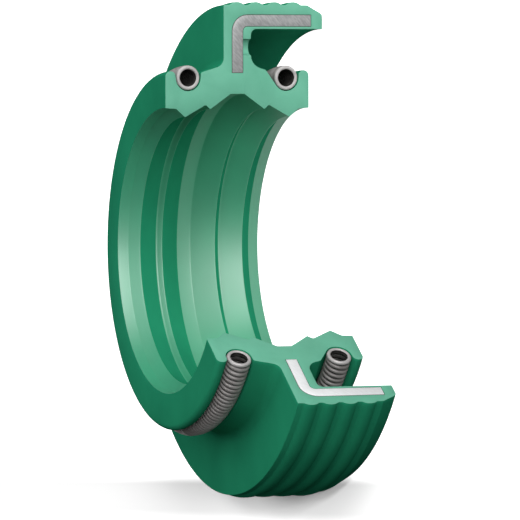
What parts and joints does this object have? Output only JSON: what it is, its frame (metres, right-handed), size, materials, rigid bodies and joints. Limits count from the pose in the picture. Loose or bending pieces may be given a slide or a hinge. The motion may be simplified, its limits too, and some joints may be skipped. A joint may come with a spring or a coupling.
{
  "type": "fork cartridge seal",
  "caption": "Sectioned double-lip rod seal: ribbed rubber ring moulded round an L-shaped steel ring, with a garter spring behind each lip.",
  "frame": {"origin": "on the seal's axis, in the plane of the outer band's plain end, which it rests on", "axes": "+Z along the seal's axis from the open skirt to the flange side; -Y through the middle of the wedge that is cut away; +X across it"},
  "size_m": [0.022, 0.0161, 0.0075],
  "materials": {
    "rubber": "smooth moulded green rubber with a soft sheen, paler on the two cut faces",
    "sheet_steel": "saw-cut pressed sheet steel with slanting scratches",
    "spring_wire": "bright drawn spring wire"
  },
  "bodies": {
    "root": {"seal_body": "rubber", "stiffener_ring": "sheet_steel", "upper_garter_spring": "spring_wire", "lower_garter_spring": "spring_wire"}
  },
  "joints": []
}
